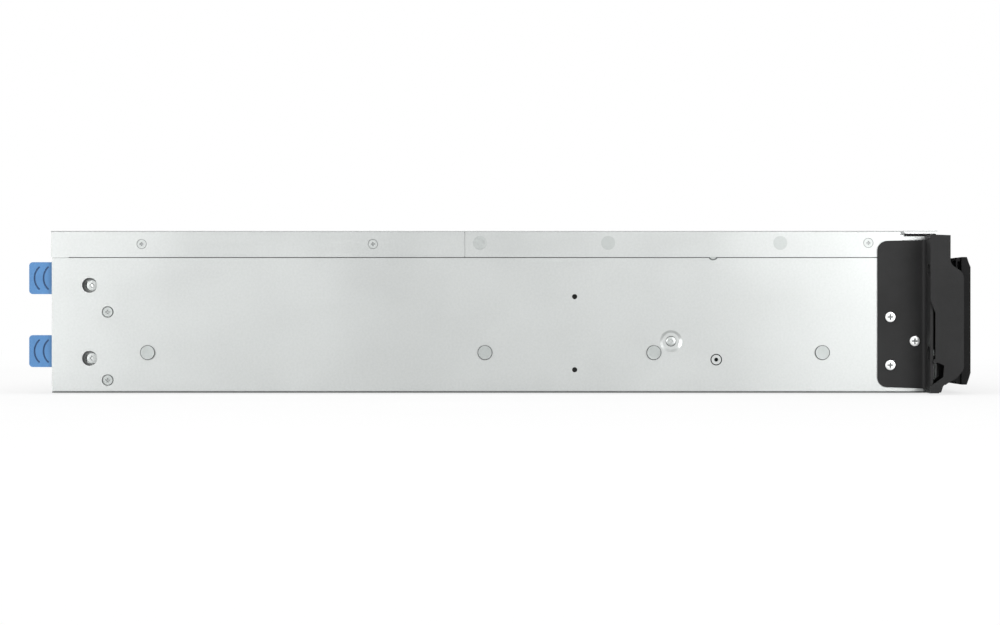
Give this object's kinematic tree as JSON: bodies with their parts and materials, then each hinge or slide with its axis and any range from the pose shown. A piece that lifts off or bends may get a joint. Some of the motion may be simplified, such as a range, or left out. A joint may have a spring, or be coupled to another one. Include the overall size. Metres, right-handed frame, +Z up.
{
  "type": "rack-mount network storage case",
  "caption": "Flat rack-mount storage case with sprung-lever drive trays in front, stacked controllers and power supplies behind, and black ears for a 19 inch rack.",
  "frame": {"origin": "centre of the case's underside, between the side walls and between the front and rear edges of the metal case", "axes": "+X across the case to the right as seen from the front, +Y from the drive bays to the rear, +Z up"},
  "size_m": [0.4826, 0.513, 0.088],
  "materials": {
    "galvanised_steel": "satin galvanised sheet",
    "black_steel": "matt powder coat",
    "black_plastic": "fine texture",
    "tray_plastic": "fine texture",
    "lever_plastic": "satin",
    "blue_plastic": "satin",
    "bright_steel": "zinc plate",
    "circuit_board": "solder mask",
    "light_guide": "clear"
  },
  "bodies": {
    "chassis": {"chassis_tub": "galvanised_steel", "drive_cage": "galvanised_steel", "midplane_board": "circuit_board", "front_cover": "galvanised_steel", "rear_cover": "galvanised_steel", "module_bay_frame": "galvanised_steel", "left_ear_bracket": "black_steel", "right_ear_bracket": "black_steel", "left_ear_cover": "black_plastic", "right_ear_cover": "black_plastic", "ear_screws": "bright_steel", "case_screws": "bright_steel", "rail_studs": "bright_steel", "status_lights": "light_guide"},
    "power_button": {"power_button": "black_plastic"},
    "left_rack_screw": {"left_rack_screw": "bright_steel"},
    "right_rack_screw": {"right_rack_screw": "bright_steel"},
    "drive_tray_01": {"drive_tray_01": "tray_plastic"},
    "drive_tray_02": {"drive_tray_02": "tray_plastic"},
    "drive_tray_03": {"drive_tray_03": "tray_plastic"},
    "drive_tray_04": {"drive_tray_04": "tray_plastic"},
    "drive_tray_05": {"drive_tray_05": "tray_plastic"},
    "drive_tray_06": {"drive_tray_06": "tray_plastic"},
    "drive_tray_07": {"drive_tray_07": "tray_plastic"},
    "drive_tray_08": {"drive_tray_08": "tray_plastic"},
    "drive_tray_09": {"drive_tray_09": "tray_plastic"},
    "drive_tray_10": {"drive_tray_10": "tray_plastic"},
    "drive_tray_11": {"drive_tray_11": "tray_plastic"},
    "drive_tray_12": {"drive_tray_12": "tray_plastic"},
    "drive_tray_13": {"drive_tray_13": "tray_plastic"},
    "drive_tray_14": {"drive_tray_14": "tray_plastic"},
    "drive_tray_15": {"drive_tray_15": "tray_plastic"},
    "drive_tray_16": {"drive_tray_16": "tray_plastic"},
    "drive_tray_17": {"drive_tray_17": "tray_plastic"},
    "drive_tray_18": {"drive_tray_18": "tray_plastic"},
    "drive_tray_19": {"drive_tray_19": "tray_plastic"},
    "drive_tray_20": {"drive_tray_20": "tray_plastic"},
    "drive_tray_21": {"drive_tray_21": "tray_plastic"},
    "drive_tray_22": {"drive_tray_22": "tray_plastic"},
    "drive_tray_23": {"drive_tray_23": "tray_plastic"},
    "drive_tray_24": {"drive_tray_24": "tray_plastic"},
    "tray_lever_01": {"tray_lever_01": "tray_plastic"},
    "lower_controller": {"lower_controller_case": "galvanised_steel", "lower_controller_board": "circuit_board"},
    "lower_left_ejector": {"lower_left_ejector": "lever_plastic"},
    "lower_right_ejector": {"lower_right_ejector": "lever_plastic"},
    "lower_controller_fan_1": {"lower_controller_fan_1": "black_plastic"},
    "lower_controller_fan_2": {"lower_controller_fan_2": "black_plastic"},
    "lower_supply": {"lower_supply_case": "galvanised_steel"},
    "lower_supply_fan": {"lower_supply_fan": "black_plastic"},
    "lower_supply_latch": {"lower_supply_latch": "blue_plastic"},
    "upper_controller": {"upper_controller_case": "galvanised_steel", "upper_controller_board": "circuit_board"},
    "upper_left_ejector": {"upper_left_ejector": "lever_plastic"},
    "upper_right_ejector": {"upper_right_ejector": "lever_plastic"},
    "upper_controller_fan_1": {"upper_controller_fan_1": "black_plastic"},
    "upper_controller_fan_2": {"upper_controller_fan_2": "black_plastic"},
    "upper_supply": {"upper_supply_case": "galvanised_steel"},
    "upper_supply_fan": {"upper_supply_fan": "black_plastic"},
    "upper_supply_latch": {"upper_supply_latch": "blue_plastic"}
  },
  "joints": [
    {"name": "power_button_press", "type": "slide", "parent": "chassis", "child": "power_button", "axis": [0, 1, 0], "range_m": [0, 0.0012], "stiffness_N_per_m": 400},
    {"name": "left_rack_screw_turn", "type": "hinge", "parent": "chassis", "child": "left_rack_screw", "pos_m": [-0.23255, -0.2448, 0.02185], "axis": [0, 1, 0], "continuous": true},
    {"name": "right_rack_screw_turn", "type": "hinge", "parent": "chassis", "child": "right_rack_screw", "pos_m": [0.23255, -0.2448, 0.02185], "axis": [0, 1, 0], "continuous": true},
    {"name": "drive_tray_01_slide", "type": "slide", "parent": "chassis", "child": "drive_tray_01", "axis": [0, -1, 0], "range_m": [0, 0.13]},
    {"name": "drive_tray_02_slide", "type": "slide", "parent": "chassis", "child": "drive_tray_02", "axis": [0, -1, 0], "range_m": [0, 0.13]},
    {"name": "drive_tray_03_slide", "type": "slide", "parent": "chassis", "child": "drive_tray_03", "axis": [0, -1, 0], "range_m": [0, 0.13]},
    {"name": "drive_tray_04_slide", "type": "slide", "parent": "chassis", "child": "drive_tray_04", "axis": [0, -1, 0], "range_m": [0, 0.13]},
    {"name": "drive_tray_05_slide", "type": "slide", "parent": "chassis", "child": "drive_tray_05", "axis": [0, -1, 0], "range_m": [0, 0.13]},
    {"name": "drive_tray_06_slide", "type": "slide", "parent": "chassis", "child": "drive_tray_06", "axis": [0, -1, 0], "range_m": [0, 0.13]},
    {"name": "drive_tray_07_slide", "type": "slide", "parent": "chassis", "child": "drive_tray_07", "axis": [0, -1, 0], "range_m": [0, 0.13]},
    {"name": "drive_tray_08_slide", "type": "slide", "parent": "chassis", "child": "drive_tray_08", "axis": [0, -1, 0], "range_m": [0, 0.13]},
    {"name": "drive_tray_09_slide", "type": "slide", "parent": "chassis", "child": "drive_tray_09", "axis": [0, -1, 0], "range_m": [0, 0.13]},
    {"name": "drive_tray_10_slide", "type": "slide", "parent": "chassis", "child": "drive_tray_10", "axis": [0, -1, 0], "range_m": [0, 0.13]},
    {"name": "drive_tray_11_slide", "type": "slide", "parent": "chassis", "child": "drive_tray_11", "axis": [0, -1, 0], "range_m": [0, 0.13]},
    {"name": "drive_tray_12_slide", "type": "slide", "parent": "chassis", "child": "drive_tray_12", "axis": [0, -1, 0], "range_m": [0, 0.13]},
    {"name": "drive_tray_13_slide", "type": "slide", "parent": "chassis", "child": "drive_tray_13", "axis": [0, -1, 0], "range_m": [0, 0.13]},
    {"name": "drive_tray_14_slide", "type": "slide", "parent": "chassis", "child": "drive_tray_14", "axis": [0, -1, 0], "range_m": [0, 0.13]},
    {"name": "drive_tray_15_slide", "type": "slide", "parent": "chassis", "child": "drive_tray_15", "axis": [0, -1, 0], "range_m": [0, 0.13]},
    {"name": "drive_tray_16_slide", "type": "slide", "parent": "chassis", "child": "drive_tray_16", "axis": [0, -1, 0], "range_m": [0, 0.13]},
    {"name": "drive_tray_17_slide", "type": "slide", "parent": "chassis", "child": "drive_tray_17", "axis": [0, -1, 0], "range_m": [0, 0.13]},
    {"name": "drive_tray_18_slide", "type": "slide", "parent": "chassis", "child": "drive_tray_18", "axis": [0, -1, 0], "range_m": [0, 0.13]},
    {"name": "drive_tray_19_slide", "type": "slide", "parent": "chassis", "child": "drive_tray_19", "axis": [0, -1, 0], "range_m": [0, 0.13]},
    {"name": "drive_tray_20_slide", "type": "slide", "parent": "chassis", "child": "drive_tray_20", "axis": [0, -1, 0], "range_m": [0, 0.13]},
    {"name": "drive_tray_21_slide", "type": "slide", "parent": "chassis", "child": "drive_tray_21", "axis": [0, -1, 0], "range_m": [0, 0.13]},
    {"name": "drive_tray_22_slide", "type": "slide", "parent": "chassis", "child": "drive_tray_22", "axis": [0, -1, 0], "range_m": [0, 0.13]},
    {"name": "drive_tray_23_slide", "type": "slide", "parent": "chassis", "child": "drive_tray_23", "axis": [0, -1, 0], "range_m": [0, 0.13]},
    {"name": "drive_tray_24_slide", "type": "slide", "parent": "chassis", "child": "drive_tray_24", "axis": [0, -1, 0], "range_m": [0, 0.13]},
    {"name": "tray_lever_01_hinge", "type": "hinge", "parent": "drive_tray_01", "child": "tray_lever_01", "pos_m": [-0.2024, -0.2486, 0.0085], "axis": [1, 0, 0], "range_deg": [0, 45]},
    {"name": "lower_controller_slide", "type": "slide", "parent": "chassis", "child": "lower_controller", "axis": [0, 1, 0], "range_m": [0, 0.34]},
    {"name": "lower_left_ejector_hinge", "type": "hinge", "parent": "lower_controller", "child": "lower_left_ejector", "pos_m": [-0.1508, 0.2439, 0.0091], "axis": [0, 0, 1], "range_deg": [0, 75]},
    {"name": "lower_right_ejector_hinge", "type": "hinge", "parent": "lower_controller", "child": "lower_right_ejector", "pos_m": [0.2072, 0.2439, 0.0091], "axis": [0, 0, -1], "range_deg": [0, 75]},
    {"name": "lower_controller_fan_1_spin", "type": "hinge", "parent": "lower_controller", "child": "lower_controller_fan_1", "pos_m": [-0.06, -0.0882, 0.0214], "axis": [0, 1, 0], "continuous": true},
    {"name": "lower_controller_fan_2_spin", "type": "hinge", "parent": "lower_controller", "child": "lower_controller_fan_2", "pos_m": [0.12, -0.0882, 0.0214], "axis": [0, 1, 0], "continuous": true},
    {"name": "lower_supply_slide", "type": "slide", "parent": "chassis", "child": "lower_supply", "axis": [0, 1, 0], "range_m": [0, 0.325]},
    {"name": "lower_supply_fan_spin", "type": "hinge", "parent": "lower_supply", "child": "lower_supply_fan", "pos_m": [-0.1861, 0.1898, 0.0214], "axis": [0, 1, 0], "continuous": true},
    {"name": "lower_supply_latch_press", "type": "hinge", "parent": "lower_supply", "child": "lower_supply_latch", "pos_m": [-0.2136, 0.1844, 0.0274], "axis": [0, 0, -1], "range_deg": [0, 2.5], "stiffness_Nm_per_rad": 0.5},
    {"name": "upper_controller_slide", "type": "slide", "parent": "chassis", "child": "upper_controller", "axis": [0, 1, 0], "range_m": [0, 0.34]},
    {"name": "upper_left_ejector_hinge", "type": "hinge", "parent": "upper_controller", "child": "upper_left_ejector", "pos_m": [-0.1508, 0.2439, 0.0488], "axis": [0, 0, 1], "range_deg": [0, 75]},
    {"name": "upper_right_ejector_hinge", "type": "hinge", "parent": "upper_controller", "child": "upper_right_ejector", "pos_m": [0.2072, 0.2439, 0.0488], "axis": [0, 0, -1], "range_deg": [0, 75]},
    {"name": "upper_controller_fan_1_spin", "type": "hinge", "parent": "upper_controller", "child": "upper_controller_fan_1", "pos_m": [-0.06, -0.0882, 0.0611], "axis": [0, 1, 0], "continuous": true},
    {"name": "upper_controller_fan_2_spin", "type": "hinge", "parent": "upper_controller", "child": "upper_controller_fan_2", "pos_m": [0.12, -0.0882, 0.0611], "axis": [0, 1, 0], "continuous": true},
    {"name": "upper_supply_slide", "type": "slide", "parent": "chassis", "child": "upper_supply", "axis": [0, 1, 0], "range_m": [0, 0.325]},
    {"name": "upper_supply_fan_spin", "type": "hinge", "parent": "upper_supply", "child": "upper_supply_fan", "pos_m": [-0.1861, 0.1898, 0.0611], "axis": [0, 1, 0], "continuous": true},
    {"name": "upper_supply_latch_press", "type": "hinge", "parent": "upper_supply", "child": "upper_supply_latch", "pos_m": [-0.2136, 0.1844, 0.0671], "axis": [0, 0, -1], "range_deg": [0, 2.5], "stiffness_Nm_per_rad": 0.5}
  ]
}
